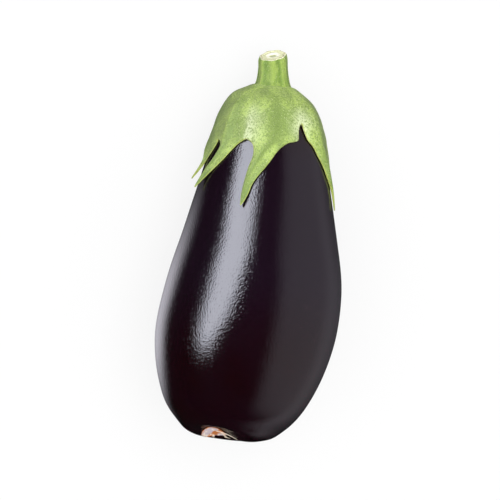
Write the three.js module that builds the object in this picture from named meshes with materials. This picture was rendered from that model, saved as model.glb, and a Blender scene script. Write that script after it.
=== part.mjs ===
// An eggplant as picked, lying on its side: the glossy fruit, the green calyx that caps it with
// six pointed sepals, the cut stem on top of the calyx, and the corky scar that the blossom left
// in the dimple at the other end.
//
// Millimetres, +Z up. The fruit grows along +Y, from the blossom end to the stem. It rests on a
// small flat spot pressed into its underside, and the origin is the middle of that spot.

import * as THREE from "three";

// ---- Driving dimensions ------------------------------------------------------------------

// Half outline of the fruit as [radius, height above the blossom end], from the floor of the
// blossom dimple, over its lip and the belly, to the shoulder and the middle of the stem end.
const fruitOutline = [
  [0, 2.6],
  [4, 2],
  [9.5, -0.7],
  [16, -0.4],
  [23, 2.5],
  [31, 11.6],
  [38.2, 27],
  [42.3, 43],
  [43.4, 59],
  [41.5, 80],
  [36.7, 102],
  [32.1, 122],
  [27.5, 142],
  [23.5, 154],
  [18, 162.6],
  [9.5, 166.6],
  [0, 168],
];

// How far the middle of the fruit wanders sideways (x) and upwards (z) from a straight axis, at
// even steps along the outline from the blossom end to the stem.
const axisDrift = [
  [-2.6, 3],
  [-2, 0.8],
  [-0.1, 0],
  [2.7, 0],
  [2.7, 0.6],
  [1.9, 2],
  [1.3, 3.4],
];

const sectionFlattening = 0.97; // height over width of the fruit's cross-section
const ribCount = 5; // faint broad ribs round the fruit
const ribDepth = 0.007; // of the radius
const ribPhase = 0.8;

const dimpleShift = -6; // sideways, because the blossom sat off the fruit's middle
const dimpleShiftReach = 0.1; // share of the outline that shifts with it
const blossomEndTilt = 0.2; // slope by which the blossom end turns up, away from the surface
const blossomEndSlant = -0.05; // its slope sideways
const blossomEndTiltReach = 0.22; // share of the outline that takes part in it
const valleyDepth = 2.6; // of the shallow valley that runs out of the dimple on top
const valleyAngle = THREE.MathUtils.degToRad(-12);
const valleyPlace = 0.06; // share of the outline where it is deepest
const valleyWidth = 0.035;
const valleyNarrowness = 5;
const stemEndTilt = 0.1; // slope by which the stem end turns up
const stemEndTiltReach = 0.35;

const restTilt = THREE.MathUtils.degToRad(9); // the stem end lies this much lower than the belly
const restDepth = 0.8; // how far the flat spot is pressed into the round underside
const restBlend = 0.35; // half the height over which the flat spot rounds into the skin

const partGap = 0.4; // between neighbouring pieces, which only touch in the real fruit

// Sepals in order round the fruit. An angle of 0 is the top of the lying fruit and +90 is +X.
// from: the angle of the notch before this sepal, and how far down the skin from the middle of
// the stem end that notch lies. tip: the same for the sepal's point. lift: how far the point
// stands off the skin. taper: how soon the blade narrows to its point.
const sepals = [
  { from: [-25, 40.5], tip: [-17, 75], lift: 1.6, taper: 0.9 },
  { from: [33, 34], tip: [84, 71], lift: 1.4, taper: 1.2 },
  { from: [104, 39], tip: [139, 66], lift: 0.4, taper: 0.9 },
  { from: [168, 40], tip: [-157, 65], lift: 0.4, taper: 0.9 },
  { from: [-118, 39], tip: [-97, 62], lift: 4, taper: 1.5 },
  { from: [-58, 41], tip: [-75, 66.5], lift: 1.8, taper: 0.85 },
];
const seatRadius = 9.6; // flat seat on the calyx for the stem
const seatHeight = 3; // of that seat above the stem end of the fruit
const shoulderReach = 30; // where the cap has thinned from that seat to calyxThickness
const calyxThickness = 1.8; // at the notches
const tipThickness = 0.7; // at a sepal's point
const bladeShare = 0.55; // width of a sepal's blade, of the distance between its notches
const archSharpness = 12; // how quickly the arch between two sepals runs into their blades

const stemHeight = 14.6;
const stemBaseRadius = 9;
const stemBaseEdge = 0.6; // height of the foot's rounded edge
const stemFlareHeight = 2.8; // where the foot has narrowed almost to the stem
const stemRadius = 7.3;
const stemCutRadius = 6; // of the cut face, inside the rounded rim
const stemRimHeight = 2; // of that rim
const stemLean = -0.12; // sideways drift of the stem, per unit of its height
const stemNod = 2; // how far the top of the stem bends up from the surface
const stemRibCount = 6;
const stemRibDepth = 0.045;
const cutSlopeSide = 0.2; // rise of the oblique cut per unit of x
const cutSlopeUp = -0.42; // rise of the oblique cut per unit of z

const scarRadius = 4.6;
const scarThickness = 1.1; // in the middle
const scarThinning = 0.6; // share of the thickness that is lost towards the edge
const scarWaves = [
  { count: 3, depth: 0.06, phase: 0 },
  { count: 5, depth: 0.04, phase: 1 },
]; // of its outline, depth as a share of the radius

// ---- Resolution ----------------------------------------------------------------------------

const fruitSegments = 48;
const blossomRings = 14;
const blossomShare = 0.16; // of the outline, ringed more closely than the rest
const fruitRings = 30;
const sepalColumns = 8;
const calyxRings = 7;
const sepalRows = [0, 0.02, 0.06, 0.13, 0.24, 0.38, 0.54, 0.7, 0.86, 1];
const stemSegments = 30;
const stemRings = 14;
const scarSegments = 18;
const scarRings = 5;

// ---- Form of the fruit ---------------------------------------------------------------------

const outline = new THREE.SplineCurve(fruitOutline.map(([r, y]) => new THREE.Vector2(r, y)));
outline.arcLengthDivisions = 800;
const outlineLength = outline.getLength();
const drift = new THREE.SplineCurve(axisDrift.map(([x, z]) => new THREE.Vector2(x, z)));

// Falls smoothly from 1 to 0 as t goes from 0 to 1.
function fade(t) {
  return t < 1 ? (1 - t * t) ** 2 : 0;
}

// A point of the grown form. share is how far along the outline its cross-section lies, angle is
// measured from the top towards +X, and radius and height belong to the straight, round form.
function grown(share, angle, radius, height) {
  const middle = drift.getPoint(share);
  const shift = dimpleShift * fade(share / dimpleShiftReach);
  const rib = 1 + ribDepth * Math.sin(Math.PI * share) * Math.cos(ribCount * angle + ribPhase);
  const x = radius * rib * Math.sin(angle);
  const z = radius * rib * Math.cos(angle) * sectionFlattening;
  const blossomTurn = blossomEndTilt * (z + radius) + blossomEndSlant * x;
  const stemTurn = stemEndTilt * z * fade((1 - share) / stemEndTiltReach);
  const alongValley = Math.exp(-(((share - valleyPlace) / valleyWidth) ** 2));
  const acrossValley = Math.cos((angle - valleyAngle) / 2) ** (2 * valleyNarrowness);
  const y =
    height +
    blossomTurn * fade(share / blossomEndTiltReach) -
    stemTurn +
    valleyDepth * alongValley * acrossValley;
  return new THREE.Vector3(x + middle.x + shift, y, z + middle.y);
}

// The outline's point at a share of its length, lifted square off the skin, which is level at
// both ends.
function liftedOutline(share, lift) {
  const point = outline.getPointAt(share);
  if (share <= 0) return new THREE.Vector2(0, point.y - lift);
  if (share >= 1) return new THREE.Vector2(0, point.y + lift);
  const along = outline.getTangentAt(share);
  return new THREE.Vector2(Math.max(0, point.x + lift * along.y), point.y - lift * along.x);
}

// A point at an angle and a distance down the skin from the stem's axis, lifted off the skin.
function onSkin(angle, reach, lift) {
  const share = 1 - reach / outlineLength;
  const { x, y } = liftedOutline(share, lift);
  return grown(share, angle, x, y);
}

// ---- Fruit ---------------------------------------------------------------------------------

const restDown = new THREE.Vector3(0, Math.sin(restTilt), -Math.cos(restTilt));

// Presses the round underside flat. floor is the distance of the resting plane along restDown.
function pressFlat(point, floor) {
  const clearance = floor - point.dot(restDown);
  if (clearance >= restBlend) return;
  const pressed = clearance <= -restBlend ? 0 : (clearance + restBlend) ** 2 / (4 * restBlend);
  point.addScaledVector(restDown, clearance - pressed);
}

function makeFruit() {
  const shares = [];
  for (let i = 0; i < blossomRings; i++) shares.push((blossomShare * i) / blossomRings);
  for (let i = 0; i <= fruitRings; i++) {
    shares.push(blossomShare + ((1 - blossomShare) * i) / fruitRings);
  }
  const geometry = new THREE.LatheGeometry(
    shares.map((share) => outline.getPointAt(share)),
    fruitSegments,
  );
  const position = geometry.getAttribute("position");
  const points = [];
  for (let i = 0; i < position.count; i++) {
    const straight = new THREE.Vector3().fromBufferAttribute(position, i);
    const angle = Math.atan2(straight.x, straight.z);
    const share = shares[i % shares.length];
    points.push(grown(share, angle, Math.hypot(straight.x, straight.z), straight.y));
  }
  const lowest = Math.max(...points.map((point) => point.dot(restDown)));
  const floor = lowest - restDepth;
  const flatSpot = new THREE.Box3();
  points.forEach((point, i) => {
    const inSpot = point.dot(restDown) > floor + restBlend;
    pressFlat(point, floor);
    if (inSpot) flatSpot.expandByPoint(point);
    position.setXYZ(i, point.x, point.y, point.z);
  });
  return { geometry, restPoint: flatSpot.getCenter(new THREE.Vector3()) };
}

// ---- Calyx ---------------------------------------------------------------------------------

// Angle and reach of the notch before a sepal, counted on past a full turn.
function notch(index) {
  const [angle, reach] = sepals[index % sepals.length].from;
  const turned = angle < sepals[0].from[0] ? angle + 360 : angle;
  return { angle: turned + 360 * Math.floor(index / sepals.length), reach };
}

// Width of a sepal at a share of its length, 1 at the notches and 0 at the point.
function sepalWidth(sepal, share) {
  const blade = bladeShare * (1 - share) ** sepal.taper;
  return blade + (1 - bladeShare) * (1 - share) ** archSharpness;
}

// Where the calyx lies: angle and reach for a column round it and a share of a sepal's length.
function sepalPlace(index, across, share) {
  const sepal = sepals[index];
  const left = notch(index);
  const right = notch(index + 1);
  const middle = (left.angle + right.angle) / 2;
  const half = (right.angle - left.angle) / 2;
  const turns = Math.round((middle - sepal.tip[0]) / 360);
  const tipAngle = sepal.tip[0] + 360 * turns;
  const angle =
    THREE.MathUtils.lerp(middle, tipAngle, share) + across * half * sepalWidth(sepal, share);
  const base = THREE.MathUtils.lerp(left.reach, right.reach, (across + 1) / 2);
  return {
    angle: THREE.MathUtils.degToRad(angle),
    reach: THREE.MathUtils.lerp(base, sepal.tip[1], share),
  };
}

// The inner and the outer point of the calyx at one place.
function calyxWall(angle, reach, lift, thickness) {
  return {
    inner: onSkin(angle, reach, partGap + lift),
    outer: onSkin(angle, reach, partGap + lift + thickness),
  };
}

// Thickness between the stem's seat and the notches: the seat itself is level.
function capThickness(reach) {
  const level = seatHeight - partGap + outline.getPointAt(1).y;
  const flat = level - outline.getPointAt(1 - Math.min(reach, seatRadius) / outlineLength).y;
  const run = Math.max(0, reach - seatRadius) / (shoulderReach - seatRadius);
  return THREE.MathUtils.lerp(flat, calyxThickness, Math.min(1, run) ** 0.6);
}

// Closes a sheet of inner and outer points into a solid with a rim round every free edge.
function thicken(walls, triangles) {
  const count = walls.length;
  const index = [];
  const edges = new Set(triangles.flatMap(([a, b, c]) => [`${a},${b}`, `${b},${c}`, `${c},${a}`]));
  for (const [a, b, c] of triangles) {
    index.push(a, b, c, a + count, c + count, b + count);
  }
  for (const edge of edges) {
    const [a, b] = edge.split(",").map(Number);
    if (!edges.has(`${b},${a}`)) index.push(b, a, a + count, b, a + count, b + count);
  }
  const points = [...walls.map((wall) => wall.outer), ...walls.map((wall) => wall.inner)];
  return new THREE.BufferGeometry().setFromPoints(points).setIndex(index);
}

function makeCalyx() {
  const walls = [];
  const triangles = [];
  const addWall = (wall) => walls.push(wall) - 1;
  // A strip of two triangles a cell between an upper and a lower row of points.
  const addStrip = (upper, lower) => {
    for (let i = 0; i + 1 < upper.length; i++) {
      const quad = [upper[i], lower[i], lower[i + 1], upper[i + 1]];
      if (quad[1] !== quad[2]) triangles.push([quad[0], quad[1], quad[2]]);
      if (quad[0] !== quad[3]) triangles.push([quad[0], quad[2], quad[3]]);
    }
  };

  // The cap, ring by ring from the middle of the stem's seat to the line through the notches.
  const columns = sepals.flatMap((_, index) =>
    Array.from({ length: sepalColumns }, (_, i) => sepalPlace(index, (2 * i) / sepalColumns - 1, 0)),
  );
  const middle = addWall(calyxWall(0, 0, 0, capThickness(0)));
  let ring = columns.map(() => middle);
  for (let i = 0; i <= calyxRings; i++) {
    const next = columns.map(({ angle, reach }) => {
      const down = THREE.MathUtils.lerp(seatRadius, reach, i / calyxRings);
      return addWall(calyxWall(angle, down, 0, capThickness(down)));
    });
    addStrip([...ring, ring[0]], [...next, next[0]]);
    ring = next;
  }

  // The sepals, row by row from the cap to the point.
  sepals.forEach((sepal, index) => {
    const first = index * sepalColumns;
    let upper = Array.from({ length: sepalColumns + 1 }, (_, i) => ring[(first + i) % ring.length]);
    for (const share of sepalRows.slice(1)) {
      const thickness = THREE.MathUtils.lerp(calyxThickness, tipThickness, share);
      const lift = sepal.lift * share ** 2.5;
      const wallAt = (across) => {
        const { angle, reach } = sepalPlace(index, across, share);
        return addWall(calyxWall(angle, reach, lift, thickness));
      };
      const point = share === 1 ? wallAt(0) : null;
      const lower = upper.map((_, i) => point ?? wallAt((2 * i) / sepalColumns - 1));
      addStrip(upper, lower);
      upper = lower;
    }
  });
  return thicken(walls, triangles);
}

// ---- Stem ----------------------------------------------------------------------------------

// The stem stands along +Y on its own base, which is level, and ends in an oblique cut.
function makeStem() {
  const profile = new THREE.SplineCurve(
    [
      [stemBaseRadius, stemBaseEdge],
      [(2 * stemRadius + stemBaseRadius) / 3, stemFlareHeight],
      [stemRadius, stemHeight / 2],
      [(4 * stemRadius + stemCutRadius) / 5, stemHeight - stemRimHeight],
      [stemCutRadius, stemHeight],
    ].map(([r, y]) => new THREE.Vector2(r, y)),
  ).getSpacedPoints(stemRings);
  const foot = [new THREE.Vector2(0, 0), new THREE.Vector2(stemBaseRadius - stemBaseEdge, 0)];
  const geometry = new THREE.LatheGeometry(
    [...foot, ...profile, new THREE.Vector2(0, stemHeight)],
    stemSegments,
  );
  const position = geometry.getAttribute("position");
  for (let i = 0; i < position.count; i++) {
    const point = new THREE.Vector3().fromBufferAttribute(position, i);
    const rise = point.y / stemHeight;
    const angle = Math.atan2(point.x, point.z);
    const ribShare = Math.min(1, point.y / stemFlareHeight);
    const rib = 1 + stemRibDepth * Math.cos(stemRibCount * angle) * ribShare;
    const cut = rise ** 3 * (cutSlopeSide * point.x + cutSlopeUp * point.z);
    const x = point.x * rib + stemLean * point.y;
    position.setXYZ(i, x, point.y + cut, point.z * rib + stemNod * rise ** 2);
  }
  return geometry;
}

// ---- Blossom scar --------------------------------------------------------------------------

// A corky pad on the floor of the dimple, thickest in the middle, with a wavy outline.
function makeScar() {
  const reachAt = (i) => outlineLength - (scarRadius * i) / scarRings;
  const rise = (i) => partGap + scarThickness * (1 - scarThinning * (i / scarRings) ** 2);
  const rows = [];
  for (let i = 0; i <= scarRings; i++) rows.push([reachAt(i), rise(i)]);
  for (let i = scarRings; i >= 0; i--) rows.push([reachAt(i), partGap]);
  const places = rows.map(([reach, lift]) => {
    const share = 1 - reach / outlineLength;
    const { x, y } = liftedOutline(share, lift);
    return { share, radius: x, height: y };
  });
  const geometry = new THREE.LatheGeometry(
    places.map(({ radius, height }) => new THREE.Vector2(radius, height)),
    scarSegments,
  );
  const position = geometry.getAttribute("position");
  for (let i = 0; i < position.count; i++) {
    const straight = new THREE.Vector3().fromBufferAttribute(position, i);
    const angle = Math.atan2(straight.x, straight.z);
    const { share, height } = places[i % places.length];
    const radius = scarWaves.reduce(
      (sum, { count, depth, phase }) => sum * (1 + depth * Math.cos(count * angle + phase)),
      Math.hypot(straight.x, straight.z),
    );
    const point = grown(share, angle, radius, height);
    position.setXYZ(i, point.x, point.y, point.z);
  }
  return geometry;
}

// ---- Materials and assembly ----------------------------------------------------------------

const skin = new THREE.MeshStandardMaterial({ color: 0x1d0f1a, roughness: 0.2, metalness: 0 });
const green = new THREE.MeshStandardMaterial({ color: 0xa3c062, roughness: 0.75, metalness: 0 });
const stemGreen = new THREE.MeshStandardMaterial({ color: 0x9abb52, roughness: 0.8, metalness: 0 });
const cork = new THREE.MeshStandardMaterial({ color: 0x9c7a5c, roughness: 0.9, metalness: 0 });

function named(name, geometry, material) {
  const mesh = new THREE.Mesh(geometry, material);
  mesh.name = name;
  return mesh;
}

const { geometry: fruitGeometry, restPoint } = makeFruit();

const stem = named("stem", makeStem(), stemGreen);
stem.position.copy(onSkin(0, 0, seatHeight + partGap));
stem.rotation.set(Math.atan(stemEndTilt), 0, 0);

// Everything as it grew, with the fruit's axis along +Y.
const plant = new THREE.Group();
plant.add(named("fruit", fruitGeometry, skin));
plant.add(named("calyx", makeCalyx(), green));
plant.add(stem);
plant.add(named("blossom_scar", makeScar(), cork));
plant.position.copy(restPoint).negate();

// Laid on its side.
const eggplant = new THREE.Group();
eggplant.rotation.x = -restTilt;
eggplant.add(plant);

const part = new THREE.Group();
part.add(eggplant);

export default part;
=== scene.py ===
"""The looks of an eggplant as picked, lying on its side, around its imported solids.

Four pieces grow on one plant: the glossy fruit, the calyx with its six sepals, the cut stem and
the corky scar that the blossom left. All of them follow one form: an outline spun about the
fruit's axis, bent by a drift of that axis and turned up at both ends. Forms are in millimetres on
the upright, straight plant; laid() brings a point into the row frame, in metres.
"""

import math
import random

import bmesh
import bpy
from mathutils import Matrix, Vector, noise


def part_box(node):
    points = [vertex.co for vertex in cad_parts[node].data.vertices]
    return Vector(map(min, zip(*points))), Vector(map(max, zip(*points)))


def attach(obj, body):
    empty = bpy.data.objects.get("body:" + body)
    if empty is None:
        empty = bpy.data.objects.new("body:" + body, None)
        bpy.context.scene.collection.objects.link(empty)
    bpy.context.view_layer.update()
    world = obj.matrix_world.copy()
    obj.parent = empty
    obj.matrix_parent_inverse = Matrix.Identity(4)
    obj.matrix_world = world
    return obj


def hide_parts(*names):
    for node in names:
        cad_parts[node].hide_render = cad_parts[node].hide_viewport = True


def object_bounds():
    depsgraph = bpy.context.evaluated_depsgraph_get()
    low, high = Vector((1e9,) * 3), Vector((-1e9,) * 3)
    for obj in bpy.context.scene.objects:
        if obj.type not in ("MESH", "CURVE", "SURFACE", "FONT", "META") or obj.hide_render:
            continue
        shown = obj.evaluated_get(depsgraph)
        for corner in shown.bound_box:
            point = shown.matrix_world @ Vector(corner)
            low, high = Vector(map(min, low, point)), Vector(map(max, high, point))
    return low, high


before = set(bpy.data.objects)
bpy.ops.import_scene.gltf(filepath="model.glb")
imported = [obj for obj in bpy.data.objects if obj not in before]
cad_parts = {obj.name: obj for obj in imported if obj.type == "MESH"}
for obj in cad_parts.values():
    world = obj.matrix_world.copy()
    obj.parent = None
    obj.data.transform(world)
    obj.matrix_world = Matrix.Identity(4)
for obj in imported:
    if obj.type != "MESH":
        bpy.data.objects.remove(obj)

bl_info = {
    "name": "Eggplant",
    "version": (1, 0, 0),
    "blender": (4, 5, 0),
    "location": "View3D > Sidebar > Eggplant",
    "description": "Builds a lying eggplant: fruit, calyx, stem, blossom scar and stage",
    "category": "Object",
}

CAD_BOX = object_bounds()
MM = 0.001

# ---- Form of the plant, in millimetres ---------------------------------------------------------

# Half outline of the fruit as (radius, height above the blossom end), from the floor of the
# blossom dimple, over its lip and the belly, to the shoulder and the middle of the stem end.
FRUIT_OUTLINE = [
    (0, 2.6),
    (4, 2),
    (9.5, -0.7),
    (16, -0.4),
    (23, 2.5),
    (31, 11.6),
    (38.2, 27),
    (42.3, 43),
    (43.4, 59),
    (41.5, 80),
    (36.7, 102),
    (32.1, 122),
    (27.5, 142),
    (23.5, 154),
    (18, 162.6),
    (9.5, 166.6),
    (0, 168),
]

# How far the middle of the fruit wanders sideways (x) and upwards (z), at even steps along the
# outline from the blossom end to the stem.
AXIS_DRIFT = [(-2.6, 3), (-2, 0.8), (-0.1, 0), (2.7, 0), (2.7, 0.6), (1.9, 2), (1.3, 3.4)]

SECTION_FLATTENING = 0.97  # height over width of the cross-section
RIB_COUNT, RIB_DEPTH, RIB_PHASE = 5, 0.007, 0.8
DIMPLE_SHIFT, DIMPLE_SHIFT_REACH = -6, 0.1
BLOSSOM_END_TILT, BLOSSOM_END_SLANT, BLOSSOM_END_TILT_REACH = 0.2, -0.05, 0.22
VALLEY_DEPTH, VALLEY_ANGLE, VALLEY_PLACE = 2.6, math.radians(-12), 0.06
VALLEY_WIDTH, VALLEY_NARROWNESS = 0.035, 5
STEM_END_TILT, STEM_END_TILT_REACH = 0.1, 0.35
REST_TILT = math.radians(9)  # the stem end lies this much lower than the belly
REST_BLEND = 0.35  # half the height over which the flat spot rounds into the skin
SKIN_GAP = 0.25  # between the skin and the calyx or the scar on it


def spline(points, t):
    """A point of the smooth curve through all points, for t from 0 to 1."""
    last = len(points) - 1
    first = min(int(t * last), last - 1)
    share = t * last - first
    before, start, end, after = (
        Vector(points[min(max(i, 0), last)]) for i in range(first - 1, first + 3)
    )
    leaving, arriving = (end - before) / 2, (after - start) / 2
    return (
        (2 * start - 2 * end + leaving + arriving) * share**3
        + (3 * end - 3 * start - 2 * leaving - arriving) * share**2
        + leaving * share
        + start
    )


class Path:
    """The smooth curve through some points, walked at an even pace."""

    def __init__(self, points, steps=800):
        self.points = [spline(points, i / steps) for i in range(steps + 1)]
        self.walked = [0.0]
        for here, there in zip(self.points, self.points[1:]):
            self.walked.append(self.walked[-1] + (there - here).length)
        self.length = self.walked[-1]

    def at(self, share):
        """The point at a share of the curve's length."""
        goal = min(max(share, 0), 1) * self.length
        low, high = 0, len(self.walked) - 1
        while high - low > 1:
            middle = (low + high) // 2
            if self.walked[middle] > goal:
                high = middle
            else:
                low = middle
        step = self.walked[high] - self.walked[low]
        return self.points[low].lerp(self.points[high], (goal - self.walked[low]) / step)

    def along(self, share):
        """The curve's direction at a share of its length."""
        reach = 0.001
        return (self.at(share + reach) - self.at(share - reach)).normalized()


OUTLINE = Path(FRUIT_OUTLINE)


def mix(low, high, share):
    """The value a share of the way from low to high."""
    return low + (high - low) * share


def smooth(low, high, value):
    """0 below low, 1 above high, and a smooth step between them."""
    t = min(max((value - low) / (high - low), 0), 1)
    return t * t * (3 - 2 * t)


def fade(t):
    """Falls smoothly from 1 to 0 as t goes from 0 to 1."""
    return (1 - t * t) ** 2 if t < 1 else 0


def bump(off, width):
    """A bell of height 1 at 0 that has fallen to 0.37 at the width."""
    return math.exp(-((off / width) ** 2))


def grown(share, angle, radius, height):
    """A point of the grown plant, from its place on the straight, round form."""
    middle = spline(AXIS_DRIFT, share)
    shift = DIMPLE_SHIFT * fade(share / DIMPLE_SHIFT_REACH)
    rib = 1 + RIB_DEPTH * math.sin(math.pi * share) * math.cos(RIB_COUNT * angle + RIB_PHASE)
    x = radius * rib * math.sin(angle)
    z = radius * rib * math.cos(angle) * SECTION_FLATTENING
    blossom_turn = BLOSSOM_END_TILT * (z + radius) + BLOSSOM_END_SLANT * x
    stem_turn = STEM_END_TILT * z * fade((1 - share) / STEM_END_TILT_REACH)
    along_valley = bump(share - VALLEY_PLACE, VALLEY_WIDTH)
    across_valley = math.cos((angle - VALLEY_ANGLE) / 2) ** (2 * VALLEY_NARROWNESS)
    y = height + blossom_turn * fade(share / BLOSSOM_END_TILT_REACH) - stem_turn
    y += VALLEY_DEPTH * along_valley * across_valley
    return Vector((x + middle[0] + shift, y, z + middle[1]))


def on_skin(angle, reach, lift):
    """A point reach millimetres down the skin from the stem's axis, lifted off the skin."""
    share = 1 - reach / OUTLINE.length
    point, along = OUTLINE.at(share), OUTLINE.along(share)
    return grown(share, angle, max(0, point[0] + lift * along[1]), point[1] - lift * along[0])


def tipped(point):
    """The point with the plant tipped so that its stem end is lower."""
    return Matrix.Rotation(-REST_TILT, 3, "X") @ point


def find_placing():
    """What moves the tipped plant so that its fruit fills the box of the fruit's solid."""
    low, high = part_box("fruit")
    points = [
        tipped(grown(i / 60, j / 48 * math.tau, *OUTLINE.at(i / 60)))
        for i in range(61)
        for j in range(48)
    ]
    placing = (low + high) / (2 * MM)
    for axis in (0, 1):
        values = [point[axis] for point in points]
        placing[axis] -= (min(values) + max(values)) / 2
    placing[2] = high[2] / MM - max(point[2] for point in points)
    return placing


PLACING = find_placing()


def laid(point):
    """A point of the grown plant in the row frame, in metres."""
    return (tipped(point) + PLACING) * MM


# ---- Mesh helpers ------------------------------------------------------------------------------


def link_mesh(bm, name, material):
    """Turns a bmesh into an object in the scene, with one material."""
    mesh = bpy.data.meshes.new(name)
    bm.to_mesh(mesh)
    bm.free()
    mesh.materials.append(material)
    thing = bpy.data.objects.new(name, mesh)
    bpy.context.scene.collection.objects.link(thing)
    return thing


def finish_piece(bm, name, material, node):
    """Turns a bmesh into a smooth piece that rides on the root and stands for a CAD node."""
    piece = link_mesh(bm, name, material)
    piece.data.shade_smooth()
    rounding = piece.modifiers.new("rounding", "SUBSURF")
    rounding.levels = 1
    rounding.render_levels = 1
    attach(piece, "root")
    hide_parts(node)


def add_layers(bm, *names):
    """New number layers on the vertices, by name."""
    return {name: bm.verts.layers.float.new(name) for name in names}


def spin_profile(bm, points, steps, layer):
    """Spins a profile of (radius, height, value) about +Y into a closed skin of revolution.

    Each new vertex keeps the value of the profile point that it comes from in the layer.
    """
    verts = []
    for radius, height, value in points:
        vert = bm.verts.new((0, height, radius))
        vert[layer] = value
        verts.append(vert)
    edges = [bm.edges.new(pair) for pair in zip(verts, verts[1:])]
    bmesh.ops.spin(
        bm,
        geom=verts + edges,
        cent=(0, 0, 0),
        axis=(0, 1, 0),
        angle=math.tau,
        steps=steps,
        use_merge=True,
    )
    bmesh.ops.remove_doubles(bm, verts=bm.verts, dist=0.0001)
    bmesh.ops.recalc_face_normals(bm, faces=bm.faces)


# ---- Material helpers --------------------------------------------------------------------------


def add(tree, kind, inputs=None, **settings):
    """Adds a shader node; an input given as a socket is linked, any other is set."""
    node = tree.nodes.new("ShaderNode" + kind)
    for name, value in settings.items():
        setattr(node, name, value)
    for name, value in (inputs or {}).items():
        if isinstance(value, bpy.types.NodeSocket):
            tree.links.new(value, node.inputs[name])
        else:
            node.inputs[name].default_value = value
    return node


def blend(tree, factor, low, high):
    """A colour between low and high, as a socket."""
    return add(tree, "Mix", {0: factor, 6: low, 7: high}, data_type="RGBA").outputs[2]


def math_node(tree, operation, first, second=0.0):
    """The result of one sum on two values or sockets, as a socket."""
    return add(tree, "Math", {0: first, 1: second}, operation=operation).outputs[0]


def times(tree, first, *others):
    """The product of some values or sockets, as a socket."""
    for other in others:
        first = math_node(tree, "MULTIPLY", first, other)
    return first


def ranged(tree, value, low, high, out_low=0.0, out_high=1.0):
    """value mapped smoothly from low..high to out_low..out_high, as a socket."""
    inputs = {
        "Value": value,
        "From Min": low,
        "From Max": high,
        "To Min": out_low,
        "To Max": out_high,
    }
    return add(tree, "MapRange", inputs, interpolation_type="SMOOTHSTEP").outputs[0]


def start_group(name, inputs, outputs):
    """A shader node group with named number sockets, and its two end nodes."""
    group = bpy.data.node_groups.new(name, "ShaderNodeTree")
    for socket_name, default in inputs.items():
        socket = group.interface.new_socket(
            socket_name, in_out="INPUT", socket_type="NodeSocketFloat"
        )
        socket.default_value = default
    for socket_name in outputs:
        group.interface.new_socket(socket_name, in_out="OUTPUT", socket_type="NodeSocketFloat")
    return group, group.nodes.new("NodeGroupInput"), group.nodes.new("NodeGroupOutput")


def use_group(tree, name, **constants):
    """Places a shared node group, made at its first use, and returns its outputs."""
    group = bpy.data.node_groups.get(name) or GROUP_MAKERS[name]()
    inputs = {socket.replace("_", " "): value for socket, value in constants.items()}
    return add(tree, "Group", inputs, node_tree=group).outputs


def attributes(tree, *names):
    """The values of the mesh attributes with these names, as sockets."""
    return [add(tree, "Attribute", attribute_name=name).outputs["Fac"] for name in names]


def start_material(name, **constants):
    """A material with a Principled BSDF whose constant sockets are set from constants."""
    material = bpy.data.materials.new(name)
    material.use_nodes = True
    tree = material.node_tree
    shader = tree.nodes["Principled BSDF"]
    for socket, value in constants.items():
        shader.inputs[socket.replace("_", " ")].default_value = value
    return material, tree, shader


def finish_surface(tree, shader, colour, roughness, height, strength, distance):
    """Feeds a finish's colour and roughness into the shader, and its height into the normal."""
    inputs = {"Height": height, "Strength": strength, "Distance": distance}
    normal = add(tree, "Bump", inputs).outputs["Normal"]
    for name, value in (("Base Color", colour), ("Roughness", roughness), ("Normal", normal)):
        tree.links.new(value, shader.inputs[name])


def grain_group():
    """Shared by every finish: a fine grain and a slow mottle, on object coordinates."""
    group, start, end = start_group(
        "grain",
        {"Grain Size": 0.0006, "Mottle Size": 0.02, "Stretch": 1.0},
        ("Grain", "Mottle"),
    )
    place = add(group, "TexCoord").outputs["Object"]
    stretch = add(group, "CombineXYZ", {"X": 1.0, "Z": 1.0})
    group.links.new(start.outputs["Stretch"], stretch.inputs["Y"])
    place = add(group, "VectorMath", {0: place, 1: stretch.outputs[0]}, operation="MULTIPLY")
    for size, socket, detail in (("Grain Size", "Grain", 1.0), ("Mottle Size", "Mottle", 4.0)):
        scale = math_node(group, "DIVIDE", 1.0, start.outputs[size])
        inputs = {"Vector": place.outputs[0], "Detail": detail, "Scale": scale}
        texture = add(group, "TexNoise", inputs)
        group.links.new(texture.outputs["Fac"], end.inputs[socket])
    return group


def fuzz_group():
    """Shared by calyx and stem: short pale hairs as speckles, and the height that they add."""
    group, start, end = start_group(
        "fuzz", {"Hair Size": 0.0006, "Density": 0.5}, ("Speckle", "Height")
    )
    place = add(group, "TexCoord").outputs["Object"]
    scale = math_node(group, "DIVIDE", 1.0, start.outputs["Hair Size"])
    cells = add(group, "TexVoronoi", {"Vector": place, "Scale": scale})
    wander = add(group, "TexNoise", {"Vector": place, "Scale": scale, "Detail": 2.0})
    near = ranged(group, cells.outputs["Distance"], 0.5, 0.15)
    threshold = math_node(group, "SUBTRACT", 1.0, start.outputs["Density"])
    above = math_node(group, "SUBTRACT", wander.outputs["Fac"], threshold)
    picked = add(group, "Math", {0: above, 1: 4.0}, operation="MULTIPLY", use_clamp=True)
    speckle = times(group, near, picked.outputs[0])
    group.links.new(speckle, end.inputs["Speckle"])
    height = math_node(group, "ADD", speckle, wander.outputs["Fac"])
    group.links.new(height, end.inputs["Height"])
    return group


GROUP_MAKERS = {"grain": grain_group, "fuzz": fuzz_group}


# ---- Fruit -------------------------------------------------------------------------------------

DIMPLE_FINE_SHARE = 0.16  # of the outline, ringed more closely than the rest
DIMPLE_RINGS, BODY_RINGS, FRUIT_STEPS = 40, 76, 96
WAVE_SIZE, WAVE_DEPTH = 24.0, 0.22  # broad unevenness of the skin, in millimetres
WAVE_START = 12  # the radius from which the waves are at full depth
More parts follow.
